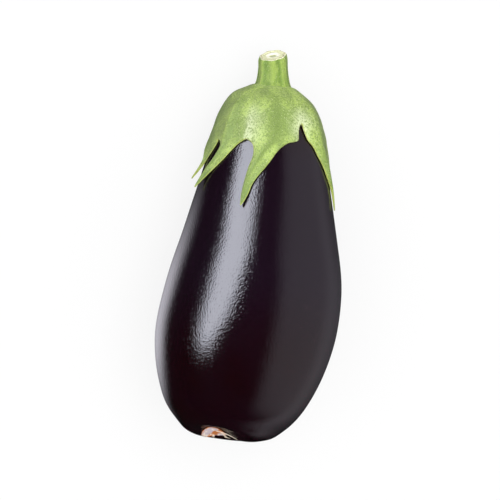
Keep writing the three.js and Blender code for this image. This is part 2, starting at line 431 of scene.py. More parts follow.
# Full and hollow places of the lip round the dimple: depth, angle from the top, reach.
LOBES = [
    (1.5, math.radians(-95), 19.0),
    (2.8, math.radians(30), 15.0),
    (-1.4, math.radians(-25), 14.0),
]
LOBE_WIDTH, LOBE_NARROWNESS, LOBE_SPREAD = 8.0, 10, 0.4
PEBBLE_SIZE, PEBBLE_DEPTH = 0.0008, -0.22  # of the skin's fine grain, in metres and as a share
STREAK_SCALE, PORE_SCALE = 420.0, 330.0  # of the faint streaks and the pores, per metre


def press_flat(point):
    """Presses a laid point up to the resting plane, with a soft edge round the flat spot."""
    blend_height = REST_BLEND * MM
    if point.z < blend_height:
        point.z = max(0, point.z + blend_height) ** 2 / (4 * blend_height)


def fruit_point(share, angle):
    """A point of the fruit's skin, with its broad unevenness, before the flat spot is pressed."""
    radius, height = OUTLINE.at(share)
    point = grown(share, angle, radius, height)
    return point + unevenness(share, angle, point, radius)


def unevenness(share, angle, point, radius):
    """What the broad waves of the skin and the lip's full and hollow places add to a point."""
    wave = noise.noise(point / WAVE_SIZE) * WAVE_DEPTH * min(1, radius / WAVE_START)
    away = Vector((math.sin(angle), 0, math.cos(angle)))
    lobe = 0
    for depth, middle, reach in LOBES:
        along = bump(share * OUTLINE.length - reach, LOBE_WIDTH)
        lobe += depth * along * math.cos((angle - middle) / 2) ** LOBE_NARROWNESS
    return away * (wave + lobe * LOBE_SPREAD) - Vector((0, lobe, 0))


def build_fruit(settings):
    """The glossy fruit: its outline spun about the axis, then grown, laid and pressed flat."""
    bm = bmesh.new()
    layer = bm.verts.layers.float.new("share")
    shares = [DIMPLE_FINE_SHARE * i / DIMPLE_RINGS for i in range(DIMPLE_RINGS)]
    shares += [mix(DIMPLE_FINE_SHARE, 1, i / BODY_RINGS) for i in range(BODY_RINGS + 1)]
    profile = [(*OUTLINE.at(share), share) for share in shares]
    spin_profile(bm, profile, FRUIT_STEPS, layer)
    for vert in bm.verts:
        angle = math.atan2(vert.co.x, vert.co.z)
        vert.co = laid(fruit_point(vert[layer], angle))
        press_flat(vert.co)
    finish_piece(bm, "fruit_skin", skin_material(settings), "fruit")


def skin_material(settings):
    """Near-black purple skin with a natural wax gloss, fine grain and pale pores."""
    material, tree, shader = start_material("eggplant skin", IOR=1.5, Specular_IOR_Level=0.9)
    grain, mottle = use_group(tree, "grain", Grain_Size=0.0007, Mottle_Size=0.03, Stretch=0.8)
    (share,) = attributes(tree, "share")
    place = add(tree, "TexCoord").outputs["Object"]
    warm = settings.warm_colour
    reddened = ranged(tree, share, 0.52, 0.3)
    mottled = ranged(tree, mottle, 0.3, 0.7, 0.55, 1.0)
    colour = blend(tree, times(tree, reddened, mottled), settings.colour, warm)
    near_stem = ranged(tree, share, 0.76, 0.84)
    colour = blend(tree, times(tree, near_stem, 0.6), colour, warm)
    pores = add(tree, "TexVoronoi", {"Vector": place, "Scale": PORE_SCALE})
    pore = ranged(tree, pores.outputs["Distance"], 0.16, 0.05)
    sparse = ranged(tree, mottle, 0.5, 0.62)
    colour = blend(tree, times(tree, pore, sparse, 0.25), colour, settings.pore_colour)
    stretched = add(tree, "VectorMath", {0: place, 1: (1.0, 0.12, 1.0)}, operation="MULTIPLY")
    inputs = {"Vector": stretched.outputs[0], "Scale": STREAK_SCALE, "Detail": 3.0}
    streaks = add(tree, "TexNoise", inputs)
    roughness = times(tree, streaks.outputs["Fac"], 0.06)
    roughness = math_node(tree, "ADD", roughness, settings.gloss_roughness)
    pebbles = add(tree, "TexVoronoi", {"Vector": place, "Scale": 1 / PEBBLE_SIZE})
    height = times(tree, pebbles.outputs["Distance"], PEBBLE_DEPTH)
    height = math_node(tree, "ADD", height, grain)
    finish_surface(tree, shader, colour, roughness, height, 1.0, settings.grain_depth)
    return material


# ---- Calyx -------------------------------------------------------------------------------------

# Each sepal's left and right edge, from the notch beside it to its point, as (angle, reach): the
# angle in degrees round the fruit, from the top towards +X, and the reach in millimetres down the
# skin from the stem's axis. A sepal's right notch is the left notch of the next one.
# lift: how far the point stands off the skin. curl: the share of the length where it starts to.
SEPALS = [
    {
        "left": [
            (-23, 40.5), (-19, 41.3), (-16, 42.5), (-14.2, 45), (-13.8, 48), (-14.8, 51), (-16.3, 54),
            (-17.2, 57.5), (-17.9, 61.5), (-18.3, 65.5), (-18.3, 69), (-17.8, 72.5), (-17, 75),
        ],
        "right": [
            (36, 29), (31.5, 33.5), (31, 38.5), (22, 39.5), (14, 42), (8, 45.5), (3, 50),
            (-2, 54.5), (-7, 58.8), (-11, 63.5), (-12.5, 68), (-15, 72.5), (-17, 75),
        ],
        "lift": 2.2,
        "curl": 0.45,
    },
    {
        "left": [
            (36, 29), (38, 33), (42, 37.5), (49, 40.2), (54, 44.5), (60, 48), (66, 52.5),
            (71, 56.2), (76.5, 59), (79, 61.3), (79.5, 64), (77.5, 67.4), (76, 71),
        ],
        "right": [
            (104, 39), (101, 41), (98, 43.5), (96, 46.5), (94.5, 49.5), (93, 52.5), (91, 55.5),
            (88.5, 57.5), (84.6, 59.8), (82.4, 61.8), (81.4, 64.2), (79.3, 67.6), (76, 71),
        ],
        "lift": 0.5,
        "curl": 0.6,
    },
    {
        "left": [
            (104, 39), (107, 41), (110, 42.7), (114, 44.5), (118, 47), (121.5, 50), (124.5, 53),
            (127, 56), (130, 58.8), (133, 61.3), (135.5, 63.3), (137.5, 65), (139, 66),
        ],
        "right": [
            (168, 40), (164, 41.5), (160, 43), (157, 45), (154.5, 47.5), (152.5, 50.3), (150.5, 53.2),
            (148.5, 56), (146.5, 58.7), (144, 61.2), (142, 63.2), (140.3, 64.9), (139, 66),
        ],
        "lift": 0.4,
        "curl": 0.6,
    },
    {
        "left": [
            (168, 40), (171.5, 41.5), (175, 43.3), (178.5, 45.3), (182, 47.8), (185, 50.5),
            (188, 53.3), (190.5, 56), (193.5, 58.5), (196.5, 60.8), (199, 62.7), (201.2, 64.2),
            (203, 65),
        ],
        "right": [
            (242, 39), (238, 40.5), (233.5, 42.3), (229, 44.5), (225, 47.2), (221.5, 50), (218.5, 53),
            (215.5, 55.8), (212.5, 58.3), (209.5, 60.7), (207, 62.6), (205, 64.1), (203, 65),
        ],
        "lift": 0.4,
        "curl": 0.6,
    },
    {
        "left": [
            (242, 39), (248, 41), (254, 43), (261, 45), (268, 46.8), (275, 48.8), (279.5, 50.8),
            (281, 52.6), (279.7, 54.9), (279.1, 57.1), (280.5, 59.3), (282.8, 61.3), (285.5, 63.2),
        ],
        "right": [
            (301, 41.5), (300.4, 42.8), (298.5, 44.6), (296, 46.6), (293, 48.4), (290, 50.2),
            (286.5, 52), (282.4, 53.8), (280.9, 55.6), (280.2, 57.4), (281.4, 59.4), (283.4, 61.2),
            (285.5, 63.2),
        ],
        "lift": 4.2,
        "curl": 0.55,
    },
    {
        "left": [
            (301, 41.5), (304, 42), (307, 44.5), (305.5, 47.5), (303, 50.5), (300, 53.2), (295.5, 56),
            (292.5, 58.4), (290.8, 60.6), (289.8, 62.4), (289.3, 64), (289.2, 65.4), (289.5, 67),
        ],
        "right": [
            (337, 40.5), (333.5, 41.5), (329, 43.2), (324.5, 45.8), (320, 48.8), (315, 52),
            (309.5, 54.8), (304.5, 57.4), (300, 59.8), (296, 62), (293, 64), (290.8, 65.6),
            (289.5, 67),
        ],
        "lift": 2.2,
        "curl": 0.5,
    },
]
SEPAL_COLUMNS, SEPAL_ROWS, CAP_RINGS = 12, 24, 18
SEAT_RADIUS, SEAT_HEIGHT = 9.6, 3.0
SHOULDER_REACH = 30.0
CALYX_THICKNESS, TIP_THICKNESS = 1.8, 0.45
COLLAR_REACH, COLLAR_HEIGHT = 16.0, 1.6  # the cap swells up round the foot of the stem
# A squarer shoulder on one flank of the cap, a hollow under it, and the low unevenness all over.
SHOULDER_ANGLE, SHOULDER_NARROWNESS = -88, 16
SHOULDER_HEIGHT, SHOULDER_MIDDLE, SHOULDER_WIDTH = 1.0, 17, 4
HOLLOW_DEPTH, HOLLOW_MIDDLE, HOLLOW_WIDTH = 1.25, 39, 12
UNEVEN_HEIGHT, UNEVEN_SIZE, UNEVEN_SCALE = 0.35, 14, 2.2
RIB_PLACE, RIB_DRIFT = -0.28, -0.3  # across a sepal at its foot, and its shift by the point
RIB_LEFT, RIB_RIGHT = 0.45, 0.24  # the rib's width on both of its sides
VEIN_COUNT, VEIN_HEIGHT = 5, 0.12
RIB_SHADE_PLACE, RIB_SHADE_DRIFT, RIB_SHADE_WIDTH = -0.02, -0.75, 0.3  # of the painted shade beside the rib
SHADED_ANGLE = -62  # the notch between sepals where the pale painted highlight is held back, as painted shade
FOOT_RIB_HEIGHT, FOOT_RIB_REACH, FOOT_RIB_WIDTH = 0.45, 12.0, 5  # the stem's ribs on the cap
MIDDLE_REACH = 3.0  # inner edge of the cap, out of sight under the stem
RIM_FAR = 10.0  # kept as the distance from the rim all over the cap
EDGE_THINNING = 0.5  # of a sepal's thickness, towards both of its sides
CALYX_LAYERS = ("angle", "reach", "lift", "thickness")


def cap_thickness(reach):
    """Thickness of the cap between the stem's seat and the notches."""
    level = SEAT_HEIGHT - SKIN_GAP + OUTLINE.at(1)[1]
    flat = level - OUTLINE.at(1 - min(reach, SEAT_RADIUS) / OUTLINE.length)[1]
    run = max(0, reach - SEAT_RADIUS) / (SHOULDER_REACH - SEAT_RADIUS)
    return mix(flat, CALYX_THICKNESS, min(1, run) ** 0.6)


def sepal_place(sepal, across, share):
    """Angle and reach at a share of a sepal's length, across it from -1, left, to 1, right."""
    left, right = spline(sepal["left"], share), spline(sepal["right"], share)
    return left.lerp(right, (across + 1) / 2)


def calyx_point(vert, layers, inner):
    """Where a vertex of the calyx lies, from the angle, reach, lift and thickness it keeps."""
    angle, reach, lift, thickness = (vert[layers[name]] for name in CALYX_LAYERS)
    height = SKIN_GAP + lift + (0 if inner else thickness)
    return laid(on_skin(math.radians(angle), reach, height))


def set_place(vert, layers, angle, reach, lift, thickness):
    """Keeps a vertex's place on the calyx in its layers."""
    for name, value in zip(CALYX_LAYERS, (angle, reach, lift, thickness)):
        vert[layers[name]] = value


def extrude_row(bm, edges):
    """Extrudes a row of edges and returns the new vertex of each old one, and the new edges."""
    old = {vert for edge in edges for vert in edge.verts}
    made = bmesh.ops.extrude_edge_only(bm, edges=edges)["geom"]
    new_edges = [item for item in made if isinstance(item, bmesh.types.BMEdge)]
    new = {item for item in made if isinstance(item, bmesh.types.BMVert)}
    row = {}
    for vert in old:
        for edge in vert.link_edges:
            other = edge.other_vert(vert)
            if other in new:
                row[vert] = other
    return row, [edge for edge in new_edges if all(vert in new for vert in edge.verts)]


def rib_swell(settings, across, reach, share):
    """Height of a sepal's mid-rib, steeper on its right, and of the fine veins beside it."""
    off_rib = across - RIB_PLACE - RIB_DRIFT * share
    middle = bump(off_rib, RIB_LEFT if off_rib < 0 else RIB_RIGHT)
    veins = math.cos(across * math.pi * VEIN_COUNT) * (1 - abs(across)) * VEIN_HEIGHT
    return settings.rib_height / MM * (middle + veins) * smooth(10, 32, reach) * (1 - share) ** 0.6


def shoulder_swell(angle, reach):
    """Height of the square shoulder, of the hollow under it, and of the low unevenness."""
    turned = math.radians(angle - SHOULDER_ANGLE)
    flank = math.cos(turned / 2) ** SHOULDER_NARROWNESS
    place = Vector((math.sin(turned), math.cos(turned), reach / UNEVEN_SIZE))
    uneven = noise.noise(place * UNEVEN_SCALE) * UNEVEN_HEIGHT
    shoulder = SHOULDER_HEIGHT * bump(reach - SHOULDER_MIDDLE, SHOULDER_WIDTH)
    hollow = HOLLOW_DEPTH * bump(reach - HOLLOW_MIDDLE, HOLLOW_WIDTH)
    return flank * (shoulder - hollow) + uneven * smooth(8, 24, reach)


def set_tints(vert, layers, across, reach, share):
    """Keeps the pale downy places, which are partly a painted highlight, and the painted shade on the
    ribs' shaded flanks and towards the points.
    """
    angle = vert[layers["angle"]]
    turned = math.radians(angle - SHADED_ANGLE)
    # Pale downy places near the notches, partly a painted highlight on the lit cap. There is less of
    # it past the notch at 36 degrees, and it is held back as painted shade at the shaded notch.
    pale = abs(across) ** 1.5 * smooth(14, 33, reach) * max(0, 1 - 3 * share)
    pale *= 1 - 0.55 * smooth(36, 50, angle) * smooth(28, 36, reach)
    vert[layers["pale"]] = pale * (1 - 0.8 * math.cos(turned / 2) ** 20)
    # Painted shade: the deep colour on the shaded flank of each mid-rib, and all over towards the
    # points.
    off_rib_shade = across - RIB_SHADE_PLACE - RIB_SHADE_DRIFT * share
    flank = bump(off_rib_shade, RIB_SHADE_WIDTH) * smooth(12, 28, reach)
    vert[layers["flank"]] = max(flank, smooth(0.3, 0.9, share))


def place_on_cap(settings, vert, layers, across, foot, share):
    """Puts a vertex on the cap, on the way from the stem to a place at the foot of a sepal."""
    angle, reach = foot
    down = mix(MIDDLE_REACH, reach, share)
    thickness = cap_thickness(down) + COLLAR_HEIGHT * fade(down / COLLAR_REACH)
    thickness += rib_swell(settings, across, down, 0) + shoulder_swell(angle, down)
    ribs = math.cos(STEM_RIB_COUNT * math.radians(angle))
    thickness += FOOT_RIB_HEIGHT * ribs * bump(down - FOOT_RIB_REACH, FOOT_RIB_WIDTH)
    set_place(vert, layers, angle, down, 0, thickness)
    set_tints(vert, layers, across, down, 0)
    vert[layers["rim"]] = RIM_FAR


def place_on_sepal(settings, vert, layers, sepal, across, share):
    """Puts a vertex on a sepal: thinner to its sides, its point curled off the skin."""
    angle, reach = sepal_place(sepal, across, share)
    width = (sepal_place(sepal, 1, share) - sepal_place(sepal, -1, share)).length
    lift = sepal["lift"] * max(0, (share - sepal["curl"]) / (1 - sepal["curl"])) ** 1.5
    thickness = mix(CALYX_THICKNESS, TIP_THICKNESS, share**0.6)
    thickness *= 1 - EDGE_THINNING * across**6 * min(1, share * 5)
    thickness += rib_swell(settings, across, reach, share)
    thickness += shoulder_swell(angle, reach) * (1 - share) ** 1.2
    set_place(vert, layers, angle, reach, lift, max(TIP_THICKNESS, thickness))
    set_tints(vert, layers, across, reach, share)
    vert[layers["rim"]] = width / 4 * (1 - abs(across))


def build_calyx(settings):
    """The calyx: a cap drawn out ring by ring, its sepals row by row, then given its thickness."""
    bm = bmesh.new()
    # rim, pale and flank hold where the painted rim highlight, the partly painted pale places and the
    # painted rib shade go.
    layers = add_layers(bm, *CALYX_LAYERS, "rim", "pale", "flank")
    across_at = [2 * i / SEPAL_COLUMNS - 1 for i in range(SEPAL_COLUMNS + 1)]
    feet = [
        (across, sepal_place(sepal, across, 0)) for sepal in SEPALS for across in across_at[:-1]
    ]
    bmesh.ops.create_circle(bm, cap_ends=True, segments=len(feet), radius=1)
    ring = list(bm.verts)
    edges = [bm.edges.get(pair) for pair in zip(ring, ring[1:] + ring[:1])]
    for i in range(CAP_RINGS + 1):
        if i:
            row, edges = extrude_row(bm, edges)
            ring = [row[vert] for vert in ring]
        for vert, (across, foot) in zip(ring, feet):
            place_on_cap(settings, vert, layers, across, foot, i / CAP_RINGS)

    for index, sepal in enumerate(SEPALS):
        first = index * SEPAL_COLUMNS
        verts = [ring[(first + i) % len(ring)] for i in range(SEPAL_COLUMNS + 1)]
        verts[0][layers["rim"]] = verts[-1][layers["rim"]] = 0.0
        for step in range(1, SEPAL_ROWS + 1):
            row, _ = extrude_row(bm, [bm.edges.get(pair) for pair in zip(verts, verts[1:])])
            verts = [row[vert] for vert in verts]
            for vert, across in zip(verts, across_at):
                place_on_sepal(settings, vert, layers, sepal, across, step / SEPAL_ROWS)

    sheet = list(bm.faces)
    for vert in bm.verts:
        vert.co = calyx_point(vert, layers, inner=False)
    bmesh.ops.recalc_face_normals(bm, faces=bm.faces)
    made = bmesh.ops.extrude_face_region(bm, geom=sheet, use_keep_orig=True)["geom"]
    for vert in made:
        if isinstance(vert, bmesh.types.BMVert):
            vert.co = calyx_point(vert, layers, inner=True)
    bmesh.ops.remove_doubles(bm, verts=bm.verts, dist=0.00002)
    bmesh.ops.recalc_face_normals(bm, faces=bm.faces)
    finish_piece(bm, "calyx_cap", calyx_material(settings), "calyx")


def calyx_material(settings):
    """Fleshy light green under short pale hairs, with painted shade beside the mid-ribs and towards
    the points, pale downy places that are partly a painted highlight, and a painted highlight along
    the thin rim.
    """
    material, tree, shader = start_material("calyx green", Sheen_Weight=0.1, Sheen_Roughness=0.5)
    grain, mottle = use_group(tree, "grain", Grain_Size=0.0008, Mottle_Size=0.007, Stretch=0.7)
    speckle, hairs = use_group(tree, "fuzz", Hair_Size=0.0008, Density=0.56)
    rim, pale, flank = attributes(tree, "rim", "pale", "flank")
    deep = settings.deep_and_shade_colour
    mottled = ranged(tree, mottle, 0.35, 0.68, 0.0, 0.7)
    colour = blend(tree, mottled, settings.colour, deep)
    # Painted shade on the ribs' shaded flanks and towards the points.
    colour = blend(tree, times(tree, flank, 0.9), colour, deep)
    # Pale downy places, partly a painted highlight.
    frost_and_highlight = times(tree, ranged(tree, pale, 0.1, 0.9), 0.72)
    colour = blend(tree, frost_and_highlight, colour, settings.frost_and_highlight_colour)
    darker = times(tree, ranged(tree, grain, 0.56, 0.34), 0.75)
    colour = blend(tree, darker, colour, deep)
    # Fewer pale hairs show in the painted shade.
    hairy = times(tree, speckle, ranged(tree, flank, 0.0, 1.0, 0.9, 0.4))
    colour = blend(tree, hairy, colour, settings.hair_colour)
    # Painted highlight along the thin rim of each sepal.
    rim_highlight = times(tree, ranged(tree, rim, 0.36, 0.1), 0.6)
    colour = blend(tree, rim_highlight, colour, settings.rim_highlight_colour)
    roughness = ranged(tree, speckle, 0.0, 1.0, 0.6, 0.85)
    height = math_node(tree, "ADD", hairs, grain)
    finish_surface(tree, shader, colour, roughness, height, 0.8, settings.hair_depth)
    return material


# ---- Stem --------------------------------------------------------------------------------------

STEM_HEIGHT = 14.6
# Half outline of the stem as (radius, height above its seat), from its flared foot to its cut.
STEM_PROFILE = [
    (12.8, -3.7),
    (11, -2.1),
    (9.4, -0.4),
    (8.2, 1.6),
    (7.5, 4.8),
    (7.0, 9.4),
    (6.8, 12.6),
    (6.2, 14.6),
]
# The rest of it as (radius, height, value): its hidden underside, with the value -1, and its cut,
# with a value that falls from 1 at the edge to 0 in the middle.
STEM_UNDERSIDE = [(0, -1.5, -1.0), (8, -2.6, -1.0)]
STEM_CUT = [
    (5.7, 14.95, 1),
    (5.2, 15.0, 0.9),
    (4.6, 14.75, 0.8),
    (4.0, 14.7, 0.7),
    (3.3, 14.85, 0.6),
    (2.6, 14.75, 0.5),
    (2.0, 14.45, 0.4),
    (1.3, 14.3, 0.25),
    (0.6, 14.3, 0.12),
    (0, 14.3, 0.01),
]
STEM_RINGS, STEM_STEPS = 24, 72
STEM_LEAN, STEM_NOD = -0.12, 2.0
STEM_RIB_COUNT, FINE_RIB_COUNT, FINE_RIB_PHASE, STEM_RIB_DEPTH = 7, 17, 1, 0.06
STEM_WANDER_SIZE, STEM_WANDER_SCALE, STEM_WANDER_DEPTH = 9, 1.7, 0.03
CUT_SLOPE_SIDE, CUT_SLOPE_UP = 0.2, -0.42
STEM_SEAT_HEIGHT = SEAT_HEIGHT + 0.4


def stem_ribs(angle):
    """The stem's ribs round it, from about -1 in a groove to 1 on a rib."""
    fine = math.cos(FINE_RIB_COUNT * angle + FINE_RIB_PHASE)
    return 0.75 * math.cos(STEM_RIB_COUNT * angle) + 0.35 * fine


def stem_point(radius, height, angle, detail):
    """A point of the stem, standing on the seat of the calyx, with ribs and an oblique cut."""
    rise = height / STEM_HEIGHT
    ribs = STEM_RIB_DEPTH * stem_ribs(angle) * smooth(-4, 0, height)
    place = Vector((math.sin(angle), math.cos(angle), height / STEM_WANDER_SIZE))
    wander = STEM_WANDER_DEPTH * noise.noise(place * STEM_WANDER_SCALE)
    swell = 1 + detail * (ribs + wander)
    x, z = radius * swell * math.sin(angle), radius * swell * math.cos(angle)
    cut = max(0, rise) ** 3 * (CUT_SLOPE_SIDE * x + CUT_SLOPE_UP * z)
    standing = Vector((x + STEM_LEAN * height, height + cut, z + STEM_NOD * rise**2))
    turned = Matrix.Rotation(math.atan(STEM_END_TILT), 3, "X") @ standing
    return turned + on_skin(0, 0, STEM_SEAT_HEIGHT)


def build_stem(settings):
    """The cut stem: a ribbed, flared stub with a ring and pith showing on its oblique cut."""
    bm = bmesh.new()
    layers = add_layers(bm, "cut", "groove_shade")
    path = Path(STEM_PROFILE)
    side = [(*path.at(i / STEM_RINGS), 0.0) for i in range(STEM_RINGS + 1)]
    spin_profile(bm, STEM_UNDERSIDE + side + STEM_CUT, STEM_STEPS, layers["cut"])
    for vert in bm.verts:
        radius = math.hypot(vert.co.x, vert.co.z)
        angle = math.atan2(vert.co.x, vert.co.z)
        detail = min(1, radius / 5)
        # Painted shade: 1 in a groove between ribs, 0 on a rib.
        vert[layers["groove_shade"]] = 0.5 - 0.5 * stem_ribs(angle)
        vert.co = laid(stem_point(radius, vert.co.y, angle, detail))
    finish_piece(bm, "stem_stub", stem_material(settings), "stem")


def stem_material(settings):
    """Hairy ribbed green on the side with painted shade in its grooves, and pale woody flesh with a
    green pith on the cut.
    """
    material, tree, shader = start_material("stem green", Sheen_Weight=0.1, Sheen_Roughness=0.5)
    grain, mottle = use_group(tree, "grain", Grain_Size=0.0008, Mottle_Size=0.0022, Stretch=0.3)
    speckle, hairs = use_group(tree, "fuzz", Hair_Size=0.0008, Density=0.56)
    cut, groove_shade = attributes(tree, "cut", "groove_shade")
    # Painted shade in the grooves, mixed with a random mottle, in the deep colour.
    shaded = math_node(tree, "ADD", times(tree, groove_shade, 0.3), mottle)
    shaded = ranged(tree, shaded, 0.5, 0.85)
    colour = blend(tree, shaded, settings.colour, settings.deep_and_shade_colour)
    colour = blend(tree, times(tree, speckle, 0.5), colour, settings.hair_colour)
    ring = times(tree, ranged(tree, cut, 0.3, 0.42), ranged(tree, cut, 0.66, 0.52))
    pale = settings.ring_colour
    flesh = blend(tree, ring, settings.cut_colour, pale)
    flesh = blend(tree, ranged(tree, cut, 0.34, 0.24), flesh, settings.pith_colour)
    dry = times(tree, ranged(tree, cut, 0.86, 1.0), 0.7)
    flesh = blend(tree, dry, flesh, settings.dry_colour)
    flesh = blend(tree, times(tree, ranged(tree, grain, 0.4, 0.7), 0.3), flesh, pale)
    colour = blend(tree, ranged(tree, cut, 0.004, 0.012), colour, flesh)
    roughness = ranged(tree, cut, 0.0, 0.01, 0.72, 0.6)
    height = math_node(tree, "ADD", hairs, grain)
    finish_surface(tree, shader, colour, roughness, height, 0.8, settings.hair_depth)
    return material


# ---- Blossom scar ------------------------------------------------------------------------------

# Reach of the crust's edge from the middle of the dimple, at even steps round it from the bottom.
CRUST_EDGE = [4.2, 7.5, 9.2, 10.0, 12.0, 13.4, 11.6, 6.6, 3.8, 3.0, 2.8, 3.2]
CRUST_THICKNESS, CRUST_RINGS, CRUST_STEPS = 0.9, 24, 84
CRUST_RAGGEDNESS, CRUST_RAG_SCALE = 0.9, 6
CRUST_LUMPS = ((1.2, 0.55), (0.5, 0.3))  # size and height of its coarse and its fine lumps
CRUST_THINNEST = 0.08
# The brown crack across the crust, in a plan of the dimple, as how far right and how far up.
CRACK = [Vector((-4.9, -4.9, 0)), Vector((-1.1, -0.7, 0)), Vector((-0.6, 9.8, 0))]
CRACK_WIDTH = 1.6
FIBRE_COUNT, FIBRE_THICKNESS, FIBRE_SEED = 30, 0.2, 5
FIBRE_FIRST, FIBRE_LAST, FIBRE_BEND = -160, 25, 14  # degrees round the dimple
FIBRE_SIDES, FIBRE_JOINTS, FIBRE_LIFT = 6, 6, 0.4
# The one long thread that still hangs over the lip, as (angle, reach, lift).
THREAD = [
    (-16, 10.5, 1.3),
    (-6, 11.5, 1.1),
    (4, 12.0, 0.8),
    (14, 12.2, 0.5),
    (23, 12.4, 0.4),
    (32, 12.8, 0.6),
]
THREAD_THICKNESS, THREAD_JOINTS = 0.26, 24


def crust_edge(angle):
    """Reach of the crust's ragged edge at an angle round the dimple."""
    turn = (angle / math.tau + 0.5) * len(CRUST_EDGE)
    low, high = (CRUST_EDGE[int(turn + i) % len(CRUST_EDGE)] for i in (0, 1))
    place = Vector((math.sin(angle), math.cos(angle), 0)) * CRUST_RAG_SCALE
    return mix(low, high, smooth(0, 1, turn % 1)) + noise.noise(place) * CRUST_RAGGEDNESS


def dimple_point(angle, reach, lift):
    """A laid point over the skin round the blossom end, lifted off it."""
    share = reach / OUTLINE.length
    point, along = OUTLINE.at(share), OUTLINE.along(max(share, 0.002))
    radius = max(0, point[0] + lift * along[1]) if reach > 0 else 0
    added = unevenness(share, angle, grown(share, angle, *point), point[0])
    return laid(grown(share, angle, radius, point[1] - lift * along[0]) + added)


def crack_depth(spot):
    """1 in the middle of the brown crack, falling to 0 beside it."""
    nearest = math.inf
    for start, end in zip(CRACK, CRACK[1:]):
        share = min(max((spot - start).dot(end - start) / (end - start).length_squared, 0), 1)
        nearest = min(nearest, (spot - start.lerp(end, share)).length)
    return bump(nearest, CRACK_WIDTH)


def add_fibre(bm, layers, points, thickness):
    """A thin tapered fibre through some laid points, closed at both ends."""
    ring = bmesh.ops.create_circle(bm, cap_ends=True, segments=FIBRE_SIDES, radius=1)["verts"]
    edges = list({edge for vert in ring for edge in vert.link_edges})
    for i, point in enumerate(points):
        if i:
            row, edges = extrude_row(bm, edges)
            ring = [row[vert] for vert in ring]
        along = (points[min(i + 1, len(points) - 1)] - points[max(i - 1, 0)]).normalized()
        side = along.orthogonal().normalized()
        half = thickness * MM * (1 - 0.75 * i / len(points))
        for j, vert in enumerate(ring):
            turn = Matrix.Rotation(j / FIBRE_SIDES * math.tau, 3, along)
            vert.co = point + turn @ side * half
            vert[layers["fibre"]] = 1.0
            vert[layers["lift"]] = 1.0
    bmesh.ops.edgeloop_fill(bm, edges=edges)


def build_scar(settings):
    """The corky scar in the dimple: a ragged cracked crust, short dry fibres and one long thread."""
    bm = bmesh.new()
    layers = add_layers(bm, "lift", "crack", "fibre")
    steps = range(1, CRUST_RINGS + 1)
    profile = [(0.0, 0.0, 1.0)] + [(i / CRUST_RINGS, 0.01 * i, 1.0) for i in steps]
    profile += [(i / CRUST_RINGS, -1, 0.0) for i in reversed(steps)] + [(0.0, -1, 0.0)]
    spin_profile(bm, profile, CRUST_STEPS, layers["lift"])
    for vert in bm.verts:
        angle = math.atan2(vert.co.x, vert.co.z)
        share = math.hypot(vert.co.x, vert.co.z)
        reach = share * crust_edge(angle)
        plan = Vector((reach * math.sin(angle), reach * math.cos(angle), 0))
        crack = crack_depth(plan)
        lift = 0.0
        if vert[layers["lift"]] > 0:
            lumps = sum(noise.noise(plan / size) * height for size, height in CRUST_LUMPS)
            lift = CRUST_THICKNESS * (1 - 0.8 * share**3) * (1 - 0.7 * crack) + lumps * share
            lift = max(CRUST_THINNEST, lift)
        vert[layers["lift"]] = lift / CRUST_THICKNESS
        vert[layers["crack"]] = crack
        vert.co = dimple_point(angle, reach, SKIN_GAP + lift)
    chance = random.Random(FIBRE_SEED)
    for i in range(FIBRE_COUNT):
        start = math.radians(mix(FIBRE_FIRST, FIBRE_LAST, i / (FIBRE_COUNT - 1)))
        bend = math.radians(chance.uniform(-FIBRE_BEND, FIBRE_BEND))
        inner = crust_edge(start) * chance.uniform(0.45, 0.85)
        length, rise = chance.uniform(1.2, 2.6), chance.uniform(0.3, 1.0)
        points = []
        for j in range(FIBRE_JOINTS + 1):
            run = j / FIBRE_JOINTS
            arch = FIBRE_LIFT + math.sin(run * math.pi * 0.75) * rise
            points.append(dimple_point(start + bend * run, inner + length * run, arch))
        add_fibre(bm, layers, points, FIBRE_THICKNESS * chance.uniform(0.7, 1.3))
    route = [spline(THREAD, i / THREAD_JOINTS) for i in range(THREAD_JOINTS + 1)]
    points = [dimple_point(math.radians(angle), reach, lift) for angle, reach, lift in route]
    add_fibre(bm, layers, points, THREAD_THICKNESS)
    bmesh.ops.recalc_face_normals(bm, faces=bm.faces)
    finish_piece(bm, "blossom_scar_cork", scar_material(settings), "blossom_scar")


def scar_material(settings):
    """Dry cork: pale grey-lilac crust, an orange-brown crack and cream fibres."""
    material, tree, shader = start_material("scar cork")
    grain, mottle = use_group(tree, "grain", Grain_Size=0.0005, Mottle_Size=0.0016, Stretch=1.0)
    lift, crack, fibre = attributes(tree, "lift", "crack", "fibre")
    brown, pale = settings.crack_colour, settings.fibre_colour
    flecks = times(tree, ranged(tree, mottle, 0.52, 0.64), 0.7)
    colour = blend(tree, flecks, settings.colour, pale)
    ragged = math_node(tree, "ADD", crack, mottle)
    colour = blend(tree, ranged(tree, ragged, 0.75, 1.05), colour, brown)
    colour = blend(tree, ranged(tree, lift, 0.45, 0.15), colour, brown)
    colour = blend(tree, fibre, colour, pale)
    roughness = ranged(tree, lift, 0.0, 1.0, 0.95, 0.75)
    finish_surface(tree, shader, colour, roughness, grain, 0.8, settings.grain_depth)
    return material


# ---- Stage -------------------------------------------------------------------------------------

TARGET_HEIGHT = 0.02  # above the middle of the object, where the softboxes aim
STRIP_FADES, STRIP_CORNER, CORNER_FADE = (0.08, 0.19), (1.0, 0.6), 0.12
KEY_FADES = (0.3, 0.3)
CARD_LENGTH, CARD_FADES = 5.0, (0.01, 0.42)
# The lit places of the floor on both sides, as (place, size, fades), just above it.
BOUNCES = {
    "left_bounce": ((-0.1, -0.02), (0.14, 0.18), (0.45, 0.4)),
    "right_bounce": ((0.44, 0.0), (0.86, 1.6), (0.18, 0.1)),
}
BOUNCE_HEIGHT = 0.001
FLOOR_HALF = 30
FLOOR_MIRRORED, FLOOR_SEEN = (0.004, 0.003, 0.003, 1), (0.1, 0.1, 0.1, 1)


